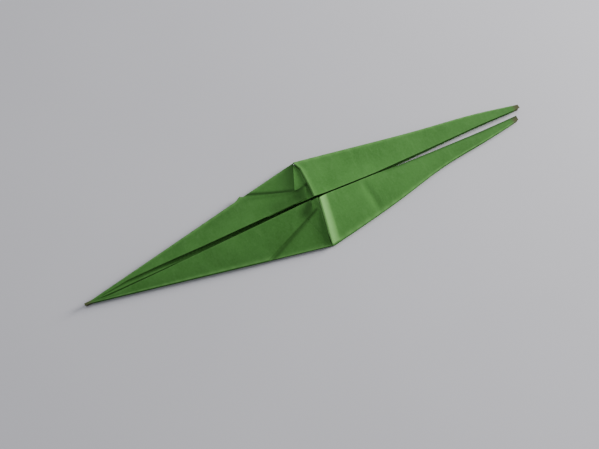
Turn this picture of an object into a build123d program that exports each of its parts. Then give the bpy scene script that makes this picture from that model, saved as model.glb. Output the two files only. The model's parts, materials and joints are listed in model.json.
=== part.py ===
from build123d import *
import math
import os

# A slim paper airplane, folded from one square sheet into a narrowed bird base.
# +X runs along the centre line to the two legs, +Y is the upper side, +Z is up.
# The origin is under the middle of the ridge, on the surface that the airplane lies on.
# Every flat facet between two creases is a panel of its own, because a crease is a hinge.
# Only the upper side (+Y) is drawn: the lower side is its mirror image.

# Driving dimensions, in millimetres and degrees.
sheet_side = 150.0         # the square sheet; the folded form is exactly as long
tip_half_angle = 11.25     # a quarter of 45 degrees, left by the two narrowing folds
paper_thickness = 0.10
layer_gap = 0.05           # air between two layers that lie on each other
crease_radius = 0.20       # round bead of a sharp fold in stiffened paper
ridge_crease_radius = 0.15
ridge_gap = 0.35           # from the ridge line to the panels on either side of it
front_lift = 20.0          # how far the front flaps spring open at rest
leg_tip_spacing = 4.2      # between the outer corners of the two leg tips, which splay apart
leg_tip_width = 0.9        # a leg's point is blunt, because its layers don't quite meet
leg_slit = 0.4             # between the legs at the ridge
wing_slit = 0.7            # between the two front wing flaps at the ridge
flap_end_setback = 20.2    # where a wing flap's end edge leaves the outer crease
flap_corner_setback = 1.2  # where that end edge meets the centre slit
tip_setback = 2.5          # from a tip to where its flap and crease bead begin
bead_end_margin = 0.4      # from a crease bead's end to the ridge edge
lining_share = 0.86        # size of the raw inner strip against the flap that hides it
collar_inset = 0.45        # how far a collar stops short of the outer crease
core_inset = 1.5           # how far the hidden layers stop short of the outer crease
peak_length = 31.0         # the hidden centre peak, from the ridge to its point
pleat_length = 58.0        # the hidden pleats beside it
ear_foot = 6.2             # where an ear's foot meets its collar, from the ridge
ear_rise = 0.10            # how much an ear climbs above its collar's slope at the ridge

half_length = sheet_side / 2
half_width = half_length * math.tan(math.radians(tip_half_angle))
pitch = paper_thickness + layer_gap

# How far each layer of a flap lies from the axis of its outer crease.
collar_offset = pitch
lining_offset = max(crease_radius + layer_gap + paper_thickness / 2, collar_offset + pitch)
skin_offset = lining_offset + pitch

# Heights of the crease axes, and of the core's four layers between them.
ridge_axis_z = ridge_crease_radius
rear_axis_z = skin_offset + paper_thickness / 2
front_axis_z = rear_axis_z + max(5 * pitch, 2 * crease_radius + layer_gap)
core_step = (front_axis_z - rear_axis_z) / 5

# Corners of the upper side in plan. The leg's triangle is splayed out by its tip spacing.
wing_tip = (-half_length, 0.0)
wing_shoulder = (-ridge_gap, half_width * (1 - ridge_gap / half_length))
leg_tip = (half_length, leg_tip_spacing / 2)
leg_shoulder = (ridge_gap, half_width)
leg_root = (ridge_gap, leg_slit / 2)
leg_inner_tip = (half_length, leg_tip_spacing / 2 - leg_tip_width)


def along(start, end, distance):
    """The point that lies a distance from start, towards end."""
    span = math.dist(start, end)
    share = distance / span
    return (start[0] + (end[0] - start[0]) * share, start[1] + (end[1] - start[1]) * share)


def flat_plate(points, mid_z):
    """A sheet of paper in plan, with its middle at a height."""
    face = make_face(Polyline(*points, close=True))
    return Pos(0, 0, mid_z - paper_thickness / 2) * extrude(face, amount=paper_thickness)


def crease_bead(start, end, axis_z):
    """The round bead along an outer crease, which is the axis that its flap turns on."""
    length = math.dist(start, end) - tip_setback - bead_end_margin
    origin = along(start, end, tip_setback + length / 2)
    direction = (end[0] - start[0], end[1] - start[1], 0)
    seat = Plane(origin=(origin[0], origin[1], axis_z), z_dir=direction)
    return seat * Cylinder(crease_radius, length)


def flap_plate(start, end, axis_z, points, offset, lift):
    """A panel hinged on the crease from start to end, given by its resting outline in plan.

    offset is its distance from the crease's axis, and lift is how far it stands open."""
    crease = Plane(
        origin=(start[0], start[1], axis_z),
        x_dir=(end[0] - start[0], end[1] - start[1], 0),
        z_dir=(0, 0, 1),
    )
    angle = math.radians(lift)
    middle = crease.to_local_coords(Vector(0, 0, axis_z))
    inward = math.copysign(1, middle.Y)
    outline = []
    for x, y in points:
        local = crease.to_local_coords(Vector(x, y, axis_z))
        reach = (abs(local.Y) + offset * math.sin(angle)) / math.cos(angle)
        outline.append((local.X, inward * reach))
    plate = flat_plate(outline, offset)
    return crease.location * Rot(X=inward * lift) * plate


def space_plate(points):
    """A sheet of paper through three points in space, which lie on its lower face."""
    corners = [Vector(*point) for point in points]
    normal = (corners[1] - corners[0]).cross(corners[2] - corners[0]).normalized()
    if normal.Z < 0:
        normal = normal * -1
    face = Face(Wire.make_polygon(corners, close=True))
    return Solid.extrude(face, normal * paper_thickness)


def inset_outline(points, inset):
    """A convex outline, drawn in by an inset on every side."""
    corners = [Vector(x, y) for x, y in points]
    inner = []
    for index, corner in enumerate(corners):
        before = (corners[index - 1] - corner).normalized()
        after = (corners[(index + 1) % len(corners)] - corner).normalized()
        half_angle = math.radians(before.get_angle(after) / 2)
        moved = corner + (before + after).normalized() * (inset / math.sin(half_angle))
        inner.append((moved.X, moved.Y))
    return inner


def lining_outline(points):
    """The outline of the raw strip under a flap, about the same middle."""
    middle = [sum(values) / len(points) for values in zip(*points)]
    return [tuple(m + (value - m) * lining_share for m, value in zip(middle, point)) for point in points]


def wing_flap_outline():
    """Tip, end corner on the crease, corner at the slit, and the slit's end by the tip."""
    tip = along(wing_tip, wing_shoulder, tip_setback)
    end_corner = along(wing_shoulder, wing_tip, flap_end_setback)
    slit_corner = (-flap_corner_setback, wing_slit / 2)
    slit_end = (-half_length + 2 * tip_setback, wing_slit / 4)
    return [tip, end_corner, slit_corner, slit_end]


def leg_flap_outline():
    """Tip, shoulder, ridge end of the slit, and the slit's end by the tip."""
    tip = along(leg_tip, leg_shoulder, tip_setback)
    slit_end = along(leg_inner_tip, leg_root, tip_setback)
    return [tip, leg_shoulder, leg_root, slit_end]


def wing_panel(axis_z):
    """The whole wing between its two outer creases, with a bead on each."""
    lower_shoulder = (wing_shoulder[0], -wing_shoulder[1])
    panel = flat_plate([wing_tip, lower_shoulder, wing_shoulder], axis_z)
    bead = crease_bead(wing_tip, wing_shoulder, axis_z)
    return panel + bead + mirror(bead, about=Plane.XZ)


def leg_panel(axis_z):
    """One leg between its outer crease and the centre slit, with a bead on the crease."""
    panel = flat_plate([leg_tip, leg_shoulder, leg_root, leg_inner_tip], axis_z)
    return panel + crease_bead(leg_tip, leg_shoulder, axis_z)


def collar_outline():
    """The part of the wing's top layer that shows between its flap and the ear."""
    end_corner = along(wing_shoulder, wing_tip, flap_end_setback)
    return inset_outline([end_corner, wing_shoulder, (-ear_foot, leg_slit / 2)], collar_inset)


def raised_point(x, y, rise):
    """A point in space, a rise above the slope of the wing's raised front layers."""
    reach = (half_width * (1 + x / half_length) - y) * math.cos(math.radians(tip_half_angle))
    return (x, y, front_axis_z + reach * math.tan(math.radians(front_lift)) + rise)


def ear():
    """The triangle beside the ridge, which climbs from its collar to the ridge's height."""
    foot_rise = collar_offset / math.cos(math.radians(front_lift)) - paper_thickness / 2
    ridge_x = -ridge_gap - paper_thickness
    shoulder = raised_point(ridge_x, half_width - 2 * collar_inset, foot_rise)
    foot = raised_point(-ear_foot + collar_inset, leg_slit, foot_rise)
    top = raised_point(ridge_x, leg_slit, foot_rise + ear_rise)
    return space_plate([shoulder, foot, top])


def core_pleat(mid_z):
    """A raw strip of the sheet, folded away between the two wings."""
    ridge_x = -2 * ridge_gap
    outer_y = half_width - core_inset
    points = [(ridge_x, leg_slit / 2), (ridge_x, outer_y), (-pleat_length, leg_slit / 2)]
    return flat_plate(points, mid_z)


def centre_peak(mid_z):
    """The hidden peak in the middle of the sheet, which points to the wing's tip."""
    ridge_x = -2 * ridge_gap
    outer_y = half_width - core_inset
    return flat_plate([(-peak_length, 0), (ridge_x, -outer_y), (ridge_x, outer_y)], mid_z)


def leg_pleat(mid_z):
    """The raw strip inside one leg, clear of its creases."""
    inner_end = along(leg_root, leg_inner_tip, pleat_length)
    ridge_x = 2 * ridge_gap
    points = [
        (ridge_x, leg_root[1] + layer_gap),
        (ridge_x, half_width - core_inset),
        (inner_end[0], inner_end[1] + layer_gap),
    ]
    return flat_plate(points, mid_z)


def ridge_crease():
    """The bead along the ridge, on which the legs and the rear wing bend."""
    bead = Cylinder(ridge_crease_radius, 2 * (half_width - crease_radius))
    return Pos(0, 0, ridge_axis_z) * Rot(X=90) * bead


def add_pair(nodes, name, shape):
    """Store an upper panel and its mirror image below; name has a gap for the side."""
    nodes[name.format("upper")] = shape
    nodes[name.format("lower")] = mirror(shape, about=Plane.XZ)


def build_nodes():
    nodes = {
        "front_wing": wing_panel(front_axis_z),
        "rear_wing": wing_panel(rear_axis_z),
        "front_peak": centre_peak(rear_axis_z + 3 * core_step),
        "rear_peak": centre_peak(rear_axis_z + 2 * core_step),
        "ridge_crease": ridge_crease(),
    }
    faces = [("front", front_axis_z, 1, front_lift), ("rear", rear_axis_z, -1, 0.0)]
    wing_skin = wing_flap_outline()
    leg_skin = leg_flap_outline()
    wing_lining = lining_outline(wing_skin)
    leg_lining = lining_outline(leg_skin)
    for face, axis_z, side, lift in faces:
        wing_crease = (wing_tip, wing_shoulder, axis_z)
        leg_crease = (leg_tip, leg_shoulder, axis_z)
        skin = side * skin_offset
        lining = side * lining_offset
        core_z = axis_z - side * core_step
        leg_core_z = axis_z - side * 2 * core_step
        add_pair(nodes, face + "_{}_wing_flap", flap_plate(*wing_crease, wing_skin, skin, lift))
        add_pair(nodes, face + "_{}_wing_lining", flap_plate(*wing_crease, wing_lining, lining, lift))
        collar = flap_plate(*wing_crease, collar_outline(), side * collar_offset, lift)
        add_pair(nodes, face + "_{}_collar", collar)
        add_pair(nodes, face + "_{}_pleat", core_pleat(core_z))
        add_pair(nodes, "{}_leg_" + face + "_base", leg_panel(axis_z))
        add_pair(nodes, "{}_leg_" + face + "_flap", flap_plate(*leg_crease, leg_skin, skin, lift))
        add_pair(nodes, "{}_leg_" + face + "_lining", flap_plate(*leg_crease, leg_lining, lining, lift))
        add_pair(nodes, "{}_leg_" + face + "_pleat", leg_pleat(leg_core_z))
    add_pair(nodes, "front_{}_ear", ear())
    return nodes


os.makedirs("parts", exist_ok=True)
for node_name, node_shape in build_nodes().items():
    export_step(node_shape, f"parts/{node_name}.step")
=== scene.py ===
import json
import math

import bpy
import numpy as np
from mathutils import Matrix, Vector, noise


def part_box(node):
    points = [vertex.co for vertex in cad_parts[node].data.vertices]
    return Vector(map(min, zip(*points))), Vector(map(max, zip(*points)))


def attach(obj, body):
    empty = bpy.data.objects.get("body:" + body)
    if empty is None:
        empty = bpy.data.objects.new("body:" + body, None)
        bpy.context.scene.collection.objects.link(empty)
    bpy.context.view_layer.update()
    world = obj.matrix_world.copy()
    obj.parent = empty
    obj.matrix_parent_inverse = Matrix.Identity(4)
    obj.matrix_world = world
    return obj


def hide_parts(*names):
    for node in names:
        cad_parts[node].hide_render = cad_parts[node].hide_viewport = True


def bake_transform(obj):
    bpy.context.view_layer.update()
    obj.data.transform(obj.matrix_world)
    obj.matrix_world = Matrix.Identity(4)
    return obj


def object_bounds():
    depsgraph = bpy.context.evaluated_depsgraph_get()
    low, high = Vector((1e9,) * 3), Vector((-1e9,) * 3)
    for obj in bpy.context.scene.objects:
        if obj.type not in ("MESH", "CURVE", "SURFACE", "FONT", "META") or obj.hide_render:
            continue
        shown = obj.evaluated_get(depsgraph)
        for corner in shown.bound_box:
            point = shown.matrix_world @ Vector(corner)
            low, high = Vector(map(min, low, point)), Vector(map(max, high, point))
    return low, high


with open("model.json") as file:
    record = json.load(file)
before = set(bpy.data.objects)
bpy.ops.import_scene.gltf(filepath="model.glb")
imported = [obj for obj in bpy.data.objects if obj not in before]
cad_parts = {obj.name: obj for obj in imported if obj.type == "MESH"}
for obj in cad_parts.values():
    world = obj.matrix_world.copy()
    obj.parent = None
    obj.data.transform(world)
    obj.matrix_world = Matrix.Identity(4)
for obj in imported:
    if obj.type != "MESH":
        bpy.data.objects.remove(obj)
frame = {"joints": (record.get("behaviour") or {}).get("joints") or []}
cad_low, cad_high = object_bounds()

# Everything below is worked out in millimetres in the airplane's own frame, and made in metres.
MM = 0.001
PAPER = 0.10             # thickness of the sheet
LAYER = 0.15             # from the middle of one layer to the next one on it
SKIN_RISE = 0.45         # from an outer crease's axis to the flap that turns on it
BEAD = 0.20              # how far a fold stands out of its crease line
FRONT_LIFT = math.radians(20)         # how far the front flaps have sprung open
TIP_ANGLE = math.radians(11.25)       # between the centre line and an outer crease
RIDGE_GAP = 0.35         # from the ridge to where a crease starts
FLAP_END_SETBACK = 20.2  # from the shoulder to a wing flap's end, along the crease
WING_REACH = 1.1         # how far a wing flap reaches past the wing's plain tip
TIP_HALF_WIDTH = 0.22    # the wing's point is blunt
EAR_FOOT = 5.8           # where the line between collar and ear meets the centre line
CELL = 0.7               # size of a mesh cell along a flap
BLEND_FOOT = 0.02        # low height over the crease's axis, handed on with a flap's body
BLEND_TOP = 0.27         # and a high one; make_sheet only checks that these are handed to it
PANEL_SEAT = SKIN_RISE / 2 + PAPER / 2 - BEAD    # from a crease in to the edge of its panel


def joint(name):
    """One joint of the frame, by name."""
    return next(j for j in frame["joints"] if j["name"] == name)


def low_high(node):
    """A node's lowest and highest corner, in millimetres."""
    low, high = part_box(node)
    return np.array(low) / MM, np.array(high) / MM


def crease_height(name):
    """The height of the crease that a joint turns on, in millimetres."""
    return joint(name)["pos_m"][2] / MM


HALF_LENGTH = cad_high[0] / MM
TOP = cad_high[2] / MM
FRONT_Z = crease_height("front_upper_wing_flap_fold")
REAR_Z = crease_height("rear_upper_wing_flap_fold")
HALF_WIDTH = HALF_LENGTH * math.tan(TIP_ANGLE)
LEG_TIP_Y = 2.1

WING_TIP = np.array((-HALF_LENGTH, 0.0))
WING_SHOULDER = np.array((-RIDGE_GAP, HALF_WIDTH * (1 - RIDGE_GAP / HALF_LENGTH)))
LEG_TIP = np.array((HALF_LENGTH, LEG_TIP_Y))
LEG_SHOULDER = np.array((RIDGE_GAP, HALF_WIDTH))

# The ridge isn't straight in plan: its place along x, at shares of the way from the shoulder
# to the centre line.
RIDGE_SHARES = (0.0, 0.22, 0.75, 1.0)
RIDGE_X = {"upper": (0.06, 1.15, 0.95, 0.65), "lower": (-0.10, 0.36, 1.45, 1.95)}

# The legs aren't equally long: how far each one reaches past its plain tip.
LEG_REACH = {"upper": 1.1, "lower": -1.5}


# ---------------------------------------------------------------- materials

def node(tree, kind, **values):
    """A shader node with some of its inputs or properties set."""
    made = tree.nodes.new(kind)
    for key, value in values.items():
        if key in made.inputs:
            made.inputs[key].default_value = value
        else:
            setattr(made, key, value)
    return made


def mix_colour(tree, factor, first, second):
    """A colour mix of two links or colours; factor is a link or a number."""
    mix = tree.nodes.new("ShaderNodeMix")
    mix.data_type = "RGBA"
    for socket, value in ((mix.inputs[0], factor), (mix.inputs[6], first), (mix.inputs[7], second)):
        if isinstance(value, bpy.types.NodeSocket):
            tree.links.new(value, socket)
        else:
            socket.default_value = value
    return mix.outputs[2]


def remap(tree, value, low, high, to_low=0.0, to_high=1.0):
    """A value mapped from one span to another, clamped."""
    ramp = node(tree, "ShaderNodeMapRange")
    tree.links.new(value, ramp.inputs["Value"])
    for name, number in (("From Min", low), ("From Max", high), ("To Min", to_low), ("To Max", to_high)):
        ramp.inputs[name].default_value = number
    return ramp.outputs["Result"]


def noise_field(tree, place, scale, detail=3.0, roughness=0.5, stretch=None):
    """A noise value over the piece's own coordinates; scale is in cells per metre."""
    if stretch is not None:
        mapping = node(tree, "ShaderNodeMapping")
        mapping.inputs["Scale"].default_value = stretch
        tree.links.new(place, mapping.inputs["Vector"])
        place = mapping.outputs["Vector"]
    field = node(tree, "ShaderNodeTexNoise", Scale=scale, Detail=detail, Roughness=roughness)
    tree.links.new(place, field.inputs["Vector"])
    return field.outputs["Fac"]


def attribute(tree, name):
    """One of the sheet's painted fields: wear with painted highlight, tip tint, or painted shade."""
    return node(tree, "ShaderNodeAttribute", attribute_name=name).outputs["Fac"]


def paper_material(name, colour, pale, deep):
    """Coloured craft paper: mottled dye, fine fibres, worn folds with painted highlight, tinted tips and
    painted shade.
    """
    material = bpy.data.materials.new(name)
    material.use_nodes = True
    tree = material.node_tree
    shader = tree.nodes["Principled BSDF"]
    place = node(tree, "ShaderNodeTexCoord").outputs["Object"]
    cloud = noise_field(tree, place, 90.0, 4.0, 0.55)
    speck = noise_field(tree, place, 1500.0, 5.0, 0.65)
    fibre = noise_field(tree, place, 900.0, 4.0, 0.6, stretch=(1.0, 0.28, 1.0))
    stain = noise_field(tree, place, 34.0, 2.0, 0.5)
    tint = mix_colour(tree, remap(tree, cloud, 0.35, 0.65), deep, colour)
    tint = mix_colour(tree, remap(tree, speck, 0.35, 0.7, 0.0, 0.22), tint, pale)
    tint = mix_colour(tree, remap(tree, fibre, 0.52, 0.75, 0.0, 0.20), tint, pale)
    tint = mix_colour(tree, remap(tree, stain, 0.60, 0.78, 0.0, 0.22), tint, deep)
    # Lighter green: real wear on creases and at the slit, and a painted highlight on the legs' strip by the
    # ridge.
    tint = mix_colour(tree, attribute(tree, "wear_and_highlight"), tint, (0.250, 0.570, 0.165, 1))
    # Browner, darker tint towards the points of the airplane.
    tint = mix_colour(tree, attribute(tree, "tip_tint"), tint, (0.082, 0.064, 0.038, 1))
    # Painted shade: dark green in recesses, gaps and crevices.
    tint = mix_colour(tree, attribute(tree, "shade"), tint, (0.018, 0.060, 0.011, 1))
    tree.links.new(tint, shader.inputs["Base Color"])
    rough = remap(tree, cloud, 0.3, 0.7, 0.70, 0.84)
    tree.links.new(rough, shader.inputs["Roughness"])
    shader.inputs["Specular IOR Level"].default_value = 0.10
    shader.inputs["Sheen Weight"].default_value = 0.02
    grain = node(tree, "ShaderNodeBump", Strength=0.22, Distance=0.00004)
    tree.links.new(speck, grain.inputs["Height"])
    weave = node(tree, "ShaderNodeBump", Strength=0.25, Distance=0.00012)
    tree.links.new(fibre, weave.inputs["Height"])
    tree.links.new(grain.outputs["Normal"], weave.inputs["Normal"])
    dents = node(tree, "ShaderNodeBump", Strength=0.35, Distance=0.0006)
    tree.links.new(cloud, dents.inputs["Height"])
    tree.links.new(weave.outputs["Normal"], dents.inputs["Normal"])
    tree.links.new(dents.outputs["Normal"], shader.inputs["Normal"])
    return material


def floor_material():
    """A matte, pale, faintly lavender table top."""
    material = bpy.data.materials.new("table")
    material.use_nodes = True
    tree = material.node_tree
    shader = tree.nodes["Principled BSDF"]
    place = node(tree, "ShaderNodeTexCoord").outputs["Object"]
    cloud = noise_field(tree, place, 14.0, 2.0, 0.5)
    tint = mix_colour(tree, remap(tree, cloud, 0.3, 0.7), (0.578, 0.572, 0.606, 1), (0.600, 0.594, 0.628, 1))
    tree.links.new(tint, shader.inputs["Base Color"])
    shader.inputs["Roughness"].default_value = 0.85
    shader.inputs["Specular IOR Level"].default_value = 0.03
    return material


GREEN = paper_material("green_paper", (0.061, 0.188, 0.038, 1), (0.112, 0.268, 0.080, 1),
                       (0.046, 0.153, 0.027, 1))
INNER = paper_material("paper_inner", (0.060, 0.180, 0.036, 1), (0.105, 0.250, 0.072, 1),
                       (0.048, 0.150, 0.027, 1))


# ---------------------------------------------------------------- sheets

def crumple(points, seed):
    """Soft dents of handled paper: a small height for each point in plan."""
    flat = points.reshape(-1, 3)
    heights = np.empty(len(flat))
    for index, (x, y) in enumerate(flat[:, :2]):
        wide = noise.noise(Vector((x / 13.0, y / 8.0, seed)))
        fine = noise.noise(Vector((x / 4.5, y / 3.5, seed + 40.0)))
        heights[index] = 0.13 * wide + 0.035 * fine
    return heights.reshape(points.shape[:-1])


def grid_normals(grid):
    """Unit normals of a grid of points, across its rows and columns."""
    normal = np.cross(np.gradient(grid, axis=0), np.gradient(grid, axis=1))
    length = np.linalg.norm(normal, axis=-1, keepdims=True)
    return normal / np.maximum(length, 1e-9)


def handled(points):
    """The bends that handling gave the airplane in plan, the same for every layer at a place."""
    x, y = points[..., 0], points[..., 1]
    edge = HALF_WIDTH + (LEG_TIP_Y - HALF_WIDTH) * x / HALF_LENGTH
    share = np.clip(np.abs(y) / edge, 0, 1) * (x > 0)
    upper = 0.8 * np.exp(-((x - 61) / 16) ** 2)
    lower = 1.15 * np.exp(-((x - 44) / 15) ** 2)
    bent = points.copy()
    bent[..., 1] += np.where(y > 0, upper, lower) * share
    return bent


def make_sheet(name, middle, body, nodes, slot="green_paper", wear_and_highlight=None, tip_tint=None, shade=None, blend=None):
    """A sheet of paper around a grid of points, in millimetres, that stands for some CAD nodes."""
    rows, columns = middle.shape[:2]
    middle = handled(middle)
    normal = grid_normals(middle)
    over = (middle + normal * PAPER / 2).reshape(-1, 3)
    under = (middle - normal * PAPER / 2).reshape(-1, 3)
    index = np.arange(rows * columns).reshape(rows, columns)
    below = rows * columns
    faces = []
    for r in range(rows - 1):
        for c in range(columns - 1):
            a, b, d, e = index[r, c], index[r + 1, c], index[r + 1, c + 1], index[r, c + 1]
            faces.append((a, b, d, e))
            faces.append((a + below, e + below, d + below, b + below))
    ring = [*index[:, 0], *index[-1, 1:], *index[-2::-1, -1], *index[0, -2:0:-1]]
    for here, there in zip(ring, ring[1:] + ring[:1]):
        faces.append((there, here, here + below, there + below))
    mesh = bpy.data.meshes.new(name)
    mesh.from_pydata((np.concatenate([over, under]) * MM).tolist(), [], faces)
    mesh.validate()
    mesh.polygons.foreach_set("use_smooth", [True] * len(mesh.polygons))
    mesh.set_sharp_from_angle(angle=math.radians(50))
    for label, values in (("wear_and_highlight", wear_and_highlight), ("tip_tint", tip_tint), ("shade", shade)):
        field = mesh.attributes.new(label, "FLOAT", "POINT")
        if values is not None:
            field.data.foreach_set("value", np.tile(values.reshape(-1), 2).astype(np.float32))
    mesh.materials.append(GREEN if slot == "green_paper" else INNER)
    sheet = bpy.data.objects.new(name, mesh)
    bpy.context.collection.objects.link(sheet)
    if blend is None:
        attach(sheet, body)
    else:
        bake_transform(sheet)
    if nodes:
        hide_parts(*nodes)
    return sheet


def lerp(first, second, share):
    """Points between two points, or between two rows of them, one for each share."""
    share = np.asarray(share, float)[..., None]
    return np.asarray(first) * (1 - share) + np.asarray(second) * share


def inward_of(start, end):
    """The unit direction in plan from an outer crease towards the centre line, on the upper side."""
    run = (end - start) / np.linalg.norm(end - start)
    across = np.array((-run[1], run[0]))
    return across if across[1] < 0 else -across


def mirrored(grid, side):
    """The grid on the upper side (1) or its mirror image on the lower side (-1)."""
    return grid * np.array((1.0, side, 1.0))


def tip_tint_amount(grid):
    """How much browner and darker the sheet is: only the last few millimetres at each point of the airplane.
    """
    x = grid[..., 0]
    left = np.clip((-x - HALF_LENGTH + 2.2) / 2.2, 0, 1) * 0.80
    leg_end = HALF_LENGTH + np.where(grid[..., 1] > 0, LEG_REACH["upper"], LEG_REACH["lower"])
    right = np.clip((x - leg_end + 2.6) / 1.4, 0, 1) * 0.85
    return left + right


def near_line(grid, points, width):
    """1 on a line through some points in plan, falling to 0 over a width on either side of it."""
    place = grid[..., :2]
    nearest = np.full(place.shape[:-1], 1e6)
    for first, second in zip(points, points[1:]):
        run = np.subtract(second, first)
        share = np.clip(((place - first) @ run) / (run @ run), 0, 1)
        gap = np.linalg.norm(place - (first + share[..., None] * run), axis=-1)
        nearest = np.minimum(nearest, gap)
    return np.exp(-(nearest / width) ** 2)


def no_shift(share, across):
    """A flap whose corners are where the plain outline has them."""
    return np.zeros(np.broadcast(share, across).shape + (2,))


def folded_flap(name, crease_line, inner_edge, face, lift, side, seed, form, body, flap_body, nodes):
    """A flap with the fold that joins it to its base panel, and its lining folded in at the slit.

    crease_line is on the outer crease, and inner_edge gives the slit's line for a row of shares.
    form holds the flap's shape: height and shift change the plain flap, ease is how its lift
    grows from the tip, and rim is the radius of its roll over the ridge, or 0."""
    start, end = crease_line
    count = int(np.linalg.norm(end - start) / CELL)
    share = np.linspace(0, 1, count)
    axis_z = FRONT_Z if face > 0 else REAR_Z
    crease = lerp(start, end, share)
    crease[:, 1] = np.maximum(crease[:, 1], TIP_HALF_WIDTH)
    slit = inner_edge(share)
    inward = inward_of(start, end)
    across = np.linspace(0, 1, 30) ** 1.1
    plan = crease[:, None, :] + across[None, :, None] * (slit - crease)[:, None, :]
    plan += form["shift"](share[:, None], across[None, :])
    reach = np.maximum((plan - start) @ inward, 0)
    root_height = SKIN_RISE / math.cos(lift)
    radius = root_height / 2
    root = radius + PAPER / 2 - BEAD
    plan = plan + inward * root * (1 - across)[None, :, None]
    rise = form["ease"](share)[:, None] * math.tan(lift)
    height = root_height + reach * rise + form["height"](share[:, None], across[None, :], reach)
    skin = np.dstack([plan, axis_z + face * height])
    settle = np.clip(reach / 2.0, 0, 1) * (1 - np.clip(across, 0, 1)[None, :] ** 8 * 0.6)
    skin[..., 2] += face * crumple(skin, seed) * settle
    if face > 0:
        skin[..., 2] = np.minimum(skin[..., 2], TOP + 0.6)
    else:
        skin[..., 2] = np.maximum(skin[..., 2], PAPER / 2 + 0.02)
    turn = np.linspace(-math.pi / 2, math.pi / 2, 9)[:-1]
    fold = np.empty((count, len(turn), 3))
    for column, angle in enumerate(turn):
        out = (root - radius * math.cos(angle)) * inward
        fold[:, column, :2] = crease + out + form["shift"](share, np.zeros(count))
        fold[:, column, 2] = axis_z + face * radius * (1 + math.sin(angle))
    normal = grid_normals(skin)
    if normal[count // 2, 12, 2] * face < 0:
        normal = -normal
    tangent = skin[:, -1] - skin[:, -2]
    tangent = tangent / np.linalg.norm(tangent, axis=-1, keepdims=True)
    roll = []
    for angle in np.linspace(0, math.pi, 8)[1:-1]:
        edge = skin[:, -1] - normal[:, -1] * LAYER / 2
        roll.append(edge + LAYER / 2 * (math.sin(angle) * tangent + math.cos(angle) * normal[:, -1]))
    lining = (skin - normal * LAYER)[:, :6:-1]
    middle = np.concatenate([fold, skin, np.stack(roll, axis=1), lining], axis=1)
    column = np.arange(middle.shape[1])
    slit_column = len(turn) + len(across) + 2.5
    at_crease = np.exp(-((column - len(turn)) / 2.2) ** 2) * 0.30
    at_slit = np.exp(-((column - slit_column) / 2.4) ** 2) * 0.40
    wear_and_highlight = np.tile(at_crease + at_slit, (count, 1))
    wear_and_highlight *= 0.55 + 0.45 * np.sin(middle[..., 0] * 0.9 + seed) ** 2
    on_skin = (column > len(turn)) & (column < slit_column)
    # Painted highlight: the leg flaps' strip by the ridge is made lighter where its rounded fold faces the
    # light.
    wear_and_highlight += form["wear_and_highlight"](share[:, None], middle[..., 0]) * on_skin
    if form["rim"] > 0:
        inside = column > slit_column
        size = (0.06 + form["rim"] * np.clip((middle[-1, :, 2] - axis_z) / 2.5, 0, 1)) - LAYER * inside
        size = np.maximum(size, 0.03)
        rows = []
        for angle in np.radians(np.arange(16, 105, 16)):
            drop = np.column_stack([-size * math.sin(angle), 0 * size, -size * (1 - math.cos(angle))])
            rows.append(middle[-1] + drop)
        middle = np.concatenate([middle, np.stack(rows)])
        wear_and_highlight = np.concatenate([wear_and_highlight, np.tile(wear_and_highlight[-1], (len(rows), 1))])
    middle = mirrored(middle, side)
    low = (0, 0, axis_z * MM + face * BLEND_FOOT * MM)
    high = (0, 0, axis_z * MM + face * BLEND_TOP * MM)
    blend = (flap_body, low, high)
    wear_and_highlight = np.clip(wear_and_highlight, 0, 0.85)
    shade = form["shade"](middle)
    return make_sheet(name, middle, body, nodes, "green_paper", wear_and_highlight, tip_tint_amount(middle), shade, blend)


def wing_slit(near_tip, half_way, near_ridge, end_x):
    """The inner edge of a wing flap, by its distance from the centre line at three places."""
    def edge(share):
        x = lerp_number(-HALF_LENGTH - 0.9, end_x, share)
        y = np.interp(x, (-50.0, -38.0, end_x), (near_tip, half_way, near_ridge))
        crease_y = np.maximum(HALF_WIDTH * (1 + x / HALF_LENGTH), TIP_HALF_WIDTH)
        return np.stack([x, np.minimum(y, 0.62 * crease_y - 0.15)], axis=-1)
    return edge


def leg_slit(tip_x, mouth):
    """The inner edge of a leg: shut from the ridge's mouth to a quarter, then slowly parting."""
    def edge(share):
        x = lerp_number(tip_x, RIDGE_GAP, share)
        return np.stack([x, leg_parting(x) + mouth * np.exp(-x / 1.8)], axis=-1)
    return edge


def leg_parting(x):
    """Half the gap between the legs: even up to a quarter of their length, then growing."""
    parting = np.clip((x - 22.0) / 38.0, 0, 1)
    tip_bend = 0.15 * np.clip((x - 60.0) / 15.0, 0, 1)
    return 0.36 + 0.78 * parting * (1.6 - 0.6 * parting) - tip_bend


def lerp_number(first, second, share):
    """The number, or the row of numbers, at a share of the way from first to second."""
    return first + (second - first) * share


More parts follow.
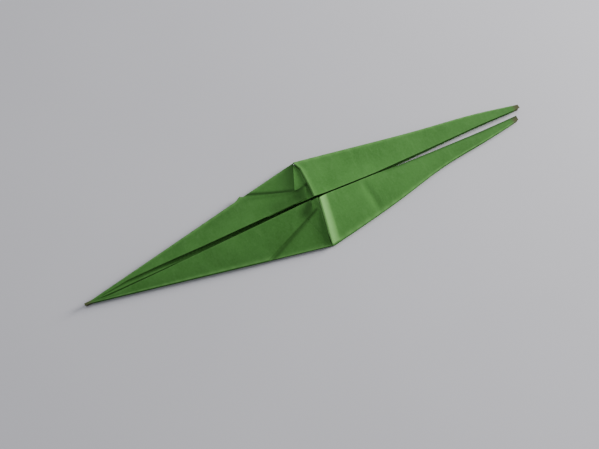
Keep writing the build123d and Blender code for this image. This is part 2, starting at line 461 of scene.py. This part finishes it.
def wing_form(side, flare):
    """A wing flap: its end edge runs straight to an elbow near the ridge, where it may flare up."""
    def shift(share, across):
        near_end = np.exp(-((1 - share) / 0.16) ** 2)
        elbow = np.interp(across, (0.0, 0.86, 1.0), (0.0, 1.0, 0.0))
        tongue = np.exp(-((1 - share) / 0.035) ** 2) * np.exp(-((across - 0.90) / 0.06) ** 2)
        corner = np.exp(-((1 - share) / 0.02) ** 2) * np.exp(-(across / 0.08) ** 2)
        x = 1.9 * near_end * elbow + 2.0 * flare * tongue
        y = 1.9 * near_end * elbow + 1.5 * flare * tongue + 0.7 * flare * corner
        return np.stack([x, y], axis=-1)

    def height(share, across, reach):
        camber = 0.35 * np.sin(math.pi * across) * share
        lift = 0.35 * flare * np.exp(-((1 - share) / 0.03) ** 2) * np.clip(across * 3, 0, 1)
        tongue = 0.5 * flare * np.exp(-((1 - share) / 0.03) ** 2) * np.exp(-((across - 0.9) / 0.08) ** 2)
        return camber + lift + tongue

    def shade(grid):
        """Painted shade where the flap's end lies in its neighbours' shadow."""
        patch = near_line(grid, [(-4.0, side * 3.2), (-1.8, side * 1.2)], 1.7) * (0.25 if side > 0 else 0.95)
        band = near_line(grid, [(-11.0, side * 2.2), (-4.0, side * 2.0)], 3.2) * (0.40 if side > 0 else 0.0)
        edge = near_line(grid, end_edge(side), 0.5) * (0.92 if side > 0 else 0.5)
        return np.clip(patch + band + edge, 0, 0.85)

    return {"shift": shift, "height": height, "ease": np.ones_like, "rim": 0.0, "wear_and_highlight": no_highlight_strip,
            "shade": shade}


def leg_form(name, strip, strip_rise, strip_highlight, dent_depth):
    """A leg flap: it rolls over the bowed ridge, with a strip by the ridge that curls up to it and is
    painted lighter as a highlight.
    """
    def bow(share, across):
        edge_x = np.interp(across, RIDGE_SHARES, RIDGE_X[name])
        return (edge_x - RIDGE_GAP) * np.exp(-((1 - share) * HALF_LENGTH / 6.0) ** 2)

    def shift(share, across):
        x = bow(share, across)
        return np.stack([x, 0 * x], axis=-1)

    def height(share, across, reach):
        camber = 0.40 * np.sin(math.pi * across) * share
        from_ridge = (1 - share) * HALF_LENGTH
        width = lerp_number(strip, strip * 0.4, across)
        ramp = np.clip(1 - from_ridge / width, 0, 1) ** 1.4 * width * strip_rise * np.clip(reach / 1.5, 0, 1)
        cross = np.exp(-((from_ridge - 18.5 + 2.0 * across) / 1.3) ** 2) * np.sin(math.pi * across) ** 0.5
        return camber + ramp - dent_depth * cross

    def ease(share):
        return 0.10 + 0.90 * share ** 1.8

    def wear_and_highlight(share, x):
        # Painted highlight, full at the ridge and gone at four fifths of the strip's width.
        return strip_highlight * np.clip(1 - (1 - share) * HALF_LENGTH / (0.8 * strip), 0, 1) ** 0.6

    def shade(grid):
        x, y = grid[..., 0], np.abs(grid[..., 1])
        at_slit = np.exp(-((y - leg_parting(x)) / 0.45) ** 2) * np.clip((x - 20.0) / 10.0, 0, 1)
        return (0.75 if name == "lower" else 0.0) * at_slit

    return {"shift": shift, "height": height, "ease": ease, "rim": 0.45, "wear_and_highlight": wear_and_highlight, "shade": shade}


def no_highlight_strip(share, x):
    """A flap without a painted highlight strip."""
    return 0.0 * share * x


def no_shade(grid):
    """A flap without painted shade."""
    return 0.0 * grid[..., 0]


def rear_form():
    """A flap on the underside lies flat."""
    def height(share, across, reach):
        return 0.0 * share * across
    return {"shift": no_shift, "height": height, "ease": np.ones_like, "rim": 0.0, "wear_and_highlight": no_highlight_strip,
            "shade": no_shade}


def along(start, end, distance):
    """The point a distance from start, towards end."""
    return start + (end - start) * (distance / np.linalg.norm(end - start))


def make_flaps():
    """The eight flaps: two on each half of the airplane, on its front and on its rear face."""
    wing_line = (along(WING_TIP, WING_SHOULDER, -WING_REACH),
                 along(WING_SHOULDER, WING_TIP, FLAP_END_SETBACK))
    # Each leg form: strip width, its curl, its painted highlight, and the depth of a dent.
    leg_forms = {
        "upper": leg_form("upper", 0.9, 0.28, 0.22, 0.08),
        "lower": leg_form("lower", 3.6, 0.10, 0.85, 0.30),
    }
    wing_forms = {"upper": wing_form(1, 1.0), "lower": wing_form(-1, 0.0)}
    slits = {"upper": wing_slit(1.45, 1.15, 0.95, -2.0), "lower": wing_slit(0.70, 0.65, 0.40, -1.0)}
    mouths = {"upper": 0.25, "lower": 0.40}
    for number, (name, side) in enumerate((("upper", 1), ("lower", -1))):
        flap = f"front_{name}_wing_flap"
        lining = f"front_{name}_wing_lining"
        folded_flap(f"wing_flap_{name}_front", wing_line, slits[name], 1, FRONT_LIFT, side,
                    3.1 + number, wing_forms[name], "front_wing", flap, (flap, lining))
        flap = f"rear_{name}_wing_flap"
        lining = f"rear_{name}_wing_lining"
        folded_flap(f"wing_flap_{name}_rear", wing_line, wing_slit(0.30, 0.30, 0.30, -1.2), -1, 0.0, side,
                    13.1 + number, rear_form(), "rear_wing", flap, (flap, lining))
        leg = f"{name}_leg"
        leg_line = (along(LEG_TIP, LEG_SHOULDER, -LEG_REACH[name]), LEG_SHOULDER)
        inner = leg_slit(leg_line[0][0], mouths[name])
        flap = f"{leg}_front_flap"
        lining = f"{leg}_front_lining"
        folded_flap(f"leg_flap_{name}_front", leg_line, inner, 1, FRONT_LIFT, side,
                    23.1 + number, leg_forms[name], leg, flap, (flap, lining))
        flap = f"{leg}_rear_flap"
        lining = f"{leg}_rear_lining"
        folded_flap(f"leg_flap_{name}_rear", leg_line, inner, -1, 0.0, side,
                    33.1 + number, rear_form(), leg, flap, (flap, lining))
        for face, height in (("front", FRONT_Z), ("rear", REAR_Z)):
            make_leg_panel(name, side, face, height, leg_line, inner)


def make_leg_panel(name, side, face, height, crease_line, inner_edge):
    """One base panel of a leg, between its outer crease and a line just behind the slit."""
    start, end = crease_line
    share = np.linspace(0, 1, 100)
    inward = inward_of(start, end)
    crease = lerp(start, end, share) + inward * PANEL_SEAT
    inner = inner_edge(share) + np.array((0.0, 0.22))
    across = np.linspace(0, 1, 16)[None, :, None]
    plan = crease[:, None, :] * (1 - across) + inner[:, None, :] * across
    grid = mirrored(np.dstack([plan, np.full(plan.shape[:2], height)]), side)
    cad = f"{name}_leg_{face}_base"
    make_sheet(f"{name}_leg_{face}_panel", grid, f"{name}_leg", (cad,), "green_paper", None, tip_tint_amount(grid))


def panel_grid(first, second, third, fourth, height, rows, columns):
    """A level panel between two edges, first to second and fourth to third, in plan."""
    one = lerp(np.array(first), np.array(second), np.linspace(0, 1, rows))
    other = lerp(np.array(fourth), np.array(third), np.linspace(0, 1, rows))
    share = np.linspace(0, 1, columns)[None, :, None]
    plan = one[:, None, :] * (1 - share) + other[:, None, :] * share
    return np.dstack([plan, np.full(plan.shape[:2], float(height))])


def make_panels():
    """The two wings' base panels, and the layer that shows between the flaps near the tip."""
    inward = inward_of(WING_TIP, WING_SHOULDER)
    seat = inward * PANEL_SEAT
    start = np.array((-HALF_LENGTH - 0.8, TIP_HALF_WIDTH)) + seat
    end = WING_SHOULDER + seat
    flip = np.array((1.0, -1.0))
    for name, height in (("front_wing", FRONT_Z), ("rear_wing", REAR_Z)):
        grid = panel_grid(start, end, end * flip, start * flip, height, 110, 36)
        make_sheet(f"{name}_panel", grid, name, (name,), "green_paper", None, tip_tint_amount(grid))
    near_tip, near_ridge, rows, columns = -73.6, -46.0, 70, 12
    grid = panel_grid((near_tip, 0.12), (near_ridge, 0.55), (near_ridge, 0.20), (near_tip, -0.05),
                      FRONT_Z + 0.30, rows, columns)
    share = np.linspace(0, 1, rows)[:, None]
    spread = np.sin(math.pi * share ** 0.8) ** 0.7
    side = np.linspace(1, -1, columns)[None, :]
    grid[..., 1] += 0.28 * spread * side
    grid[..., 2] += 0.22 * spread * (1 - side ** 2)
    shade = 0.9 * np.exp(-((side + 1.0) / 0.55) ** 2) * np.ones_like(share)
    make_sheet("inner_point", grid, "front_wing", (), "green_paper", None, tip_tint_amount(grid), shade)


def fold_height(share, name):
    """The mountain fold between the upper collar and its ear; share runs from the shoulder."""
    size = 0.40 if name == "upper" else 0.0
    return size * np.sin(math.pi * np.clip(share / 0.72, 0, 1))


def raised(x, y, rise):
    """The height of the wing's raised front layers over a point in plan, and a rise on top."""
    reach = (HALF_WIDTH * (1 + x / HALF_LENGTH) - y) * math.cos(TIP_ANGLE)
    return FRONT_Z + np.maximum(reach, 0) * math.tan(FRONT_LIFT) + rise


def end_edge(side):
    """The line of a front wing flap's end edge in plan, from the outer crease to the ridge."""
    if side > 0:
        return [(-19.2, 12.1), (-2.4, 4.2), (0.5, 5.7)]
    return [(-19.0, -11.4), (-3.2, -4.6), (-0.6, -3.4)]


def collar_shade(grid, name, side):
    """Painted shade in the recess along the flap's end edge, and on the shaded slope of the upper collar."""
    line = near_line(grid, end_edge(side), 0.6)
    if name == "lower":
        return 0.6 * line
    slope = near_line(grid, [(-0.8, 14.0), (-5.0, 1.0)], 4.2)
    return np.clip(0.95 * line + 0.70 * slope, 0, 0.94)


def make_collars():
    """The layer between a wing flap's end and the ear, folded round the outer crease."""
    start = along(WING_SHOULDER, WING_TIP, FLAP_END_SETBACK + 2.0)
    end = WING_SHOULDER + np.array((0.28, -0.05))
    inward = inward_of(start, end)
    count = 48
    share = np.linspace(0, 1, count)
    crease = lerp(start, end, share)
    inner = lerp(np.array((-15.0, 0.7)), np.array((-EAR_FOOT, 0.7)), share)
    for name, side in (("upper", 1), ("lower", -1)):
        for face, axis_z in ((1, FRONT_Z), (-1, REAR_Z)):
            lift = FRONT_LIFT if face > 0 else 0.0
            root_height = LAYER / math.cos(lift)
            radius = root_height / 2
            root = radius + PAPER / 2 - BEAD
            columns = []
            for angle in np.linspace(-math.pi / 2, math.pi / 2, 7)[:-1]:
                out = crease + (root - radius * math.cos(angle)) * inward
                height = np.full(count, axis_z + face * radius * (1 + math.sin(angle)))
                columns.append(np.column_stack([out, height]))
            for across in np.linspace(0, 1, 30):
                plan = crease + inward * root * (1 - across) + across * (inner - crease)
                reach = (plan - start) @ inward
                height = axis_z + face * (root_height + np.maximum(reach, 0) * math.tan(lift))
                if face > 0:
                    height += fold_height(across, name) * share ** 2.5
                columns.append(np.column_stack([plan, height]))
            grid = mirrored(np.stack(columns, axis=1), side)
            label = "front" if face > 0 else "rear"
            wear_and_highlight = np.tile(np.exp(-((np.arange(grid.shape[1]) - 5) / 2.0) ** 2) * 0.25, (count, 1))
            shade = 0 * wear_and_highlight
            if face > 0:
                shade = collar_shade(grid, name, side)
            make_sheet(f"collar_{name}_{label}", grid, f"{label}_wing", (f"{label}_{name}_collar",),
                       "green_paper", wear_and_highlight, None, shade)


def make_ears():
    """The facets beside the ridge, from the collar's fold up to just under the legs' rim."""
    down = np.linspace(0.015, 1, 56)
    across = 20
    ridge_curl = {"upper": 0.10, "lower": 0.16}
    hollow = {"upper": 0.20, "lower": 0.0}
    for name, side in (("upper", 1), ("lower", -1)):
        shoulder = np.array((RIDGE_X[name][0] - 0.3, HALF_WIDTH - 0.1))
        foot = lerp(shoulder, np.array((-EAR_FOOT, 0.7)), down)
        foot_z = raised(foot[:, 0], foot[:, 1], LAYER / math.cos(FRONT_LIFT)) + fold_height(down, name)
        rim_y = shoulder[1] + (0.35 - shoulder[1]) * down
        rim_x = np.interp(down, RIDGE_SHARES, RIDGE_X[name]) - 0.62
        rim_z = raised(rim_x, rim_y, 0.22 + ridge_curl[name] * (1 - 0.6 * down) * np.clip(4 * down, 0, 1))
        columns = []
        for share in np.linspace(0, 1, across):
            x = lerp_number(foot[:, 0], rim_x, share)
            y = lerp_number(foot[:, 1], rim_y, share)
            z = lerp_number(foot_z, rim_z, share) - hollow[name] * math.sin(math.pi * share) * down
            columns.append(np.column_stack([x, y, z]))
        grid = mirrored(np.stack(columns, axis=1), side)
        wear_and_highlight = np.tile(np.exp(-((np.arange(across) - (across - 1)) / 1.5) ** 2) * 0.2, (len(down), 1))
        reach = 5.2 if side > 0 else 2.0
        crevice = near_line(grid, [(0.5, side * reach), (0.2, side * 0.8)], 0.9)
        depth = 0.65 if side > 0 else 0.35
        shade = np.clip(depth * crevice + 0.8 * near_line(grid, end_edge(side), 0.45), 0, 0.9)
        make_sheet(f"ear_{name}", grid, "front_wing", (f"front_{name}_ear",), "green_paper",
                   wear_and_highlight, None, shade)


def make_core():
    """The layers folded away inside: pleats, the centre peak's halves, and the ridge's bead."""
    core = [("front_peak", "front_wing"), ("rear_peak", "front_wing")]
    for face in ("front", "rear"):
        for name in ("upper", "lower"):
            core.append((f"{face}_{name}_pleat", "front_wing"))
            core.append((f"{name}_leg_{face}_pleat", f"{name}_leg"))
    for cad, body in core:
        low, high = low_high(cad)
        middle_z = (low[2] + high[2]) / 2
        ridge_x, far_x = (low[0], high[0]) if abs(low[0]) < abs(high[0]) else (high[0], low[0])
        if "peak" in cad:
            far_low, far_high = -0.3, 0.3
        elif "leg" in cad:
            far_low, far_high = sorted((np.sign(low[1] + high[1]) * 1.75, np.sign(low[1] + high[1]) * 2.15))
        else:
            far_low, far_high = sorted((low[1], low[1] + 0.3) if low[1] > 0 else (high[1] - 0.3, high[1]))
        grid = panel_grid((ridge_x, low[1]), (far_x, far_low), (far_x, far_high), (ridge_x, high[1]),
                          middle_z, 60, 16)
        make_sheet(f"{cad}_sheet", grid, body, (cad,), "paper_inner")
    angles = np.linspace(math.pi * 1.06, math.pi * 1.94, 9)
    low, high = low_high("ridge_crease")
    across = np.linspace(low[1], high[1], 60)
    radius = (high[2] - low[2]) / 2 - PAPER / 2
    grid = np.empty((len(across), len(angles), 3))
    grid[..., 0] = radius * np.cos(angles)[None, :]
    grid[..., 1] = across[:, None]
    grid[..., 2] = (low[2] + high[2]) / 2 + radius * np.sin(angles)[None, :]
    make_sheet("ridge_bead", grid, "front_wing", ("ridge_crease",), "green_paper")


# ---------------------------------------------------------------- stage

def make_stage():
    """A plain pale table, a low key light from the legs' end, soft fill, and the camera."""
    bpy.ops.mesh.primitive_plane_add(size=6.0, location=(0, 0, 0))
    floor = bpy.context.object
    floor.name = "table_top"
    floor.data.materials.append(floor_material())

    world = bpy.data.worlds.new("soft_room")
    bpy.context.scene.world = world
    world.use_nodes = True
    background = world.node_tree.nodes["Background"]
    background.inputs["Color"].default_value = (0.93, 0.95, 1.0, 1)
    background.inputs["Strength"].default_value = 0.34

    def area(name, place, size, power, colour):
        light = bpy.data.lights.new(name, "AREA")
        light.shape = "DISK"
        light.size = size
        light.energy = power
        light.color = colour
        lamp = bpy.data.objects.new(name, light)
        lamp.location = place
        lamp.rotation_mode = "QUATERNION"
        lamp.rotation_quaternion = (Vector((0, 0, 0)) - Vector(place)).to_track_quat("-Z", "Y")
        bpy.context.collection.objects.link(lamp)

    area("key", (0.60, 0.035, 0.195), 0.26, 8.0, (1.0, 0.99, 0.965))
    area("fill", (0.12, 0.30, 0.75), 0.45, 1.7, (0.94, 0.96, 1.0))

    turn = math.radians(24.9)
    elevation = math.radians(74.6)
    distance = 0.18
    frame_width = 0.189
    right = Vector((math.cos(turn), -math.sin(turn), 0))
    up = Vector((math.sin(turn), math.cos(turn), 0))
    target = right * -0.0043 + up * -0.0066
    back = Vector((0, 0, math.sin(elevation))) - up * math.cos(elevation)
    camera = bpy.data.cameras.new("camera")
    camera.sensor_width = 36.0
    camera.lens = camera.sensor_width * distance / frame_width
    camera.clip_start = 0.01
    eye = bpy.data.objects.new("camera", camera)
    eye.location = target + back * distance
    eye.rotation_mode = "QUATERNION"
    eye.rotation_quaternion = (-back).to_track_quat("-Z", "Y")
    bpy.context.collection.objects.link(eye)
    bpy.context.scene.camera = eye


make_panels()
make_flaps()
make_collars()
make_ears()
make_core()
make_stage()
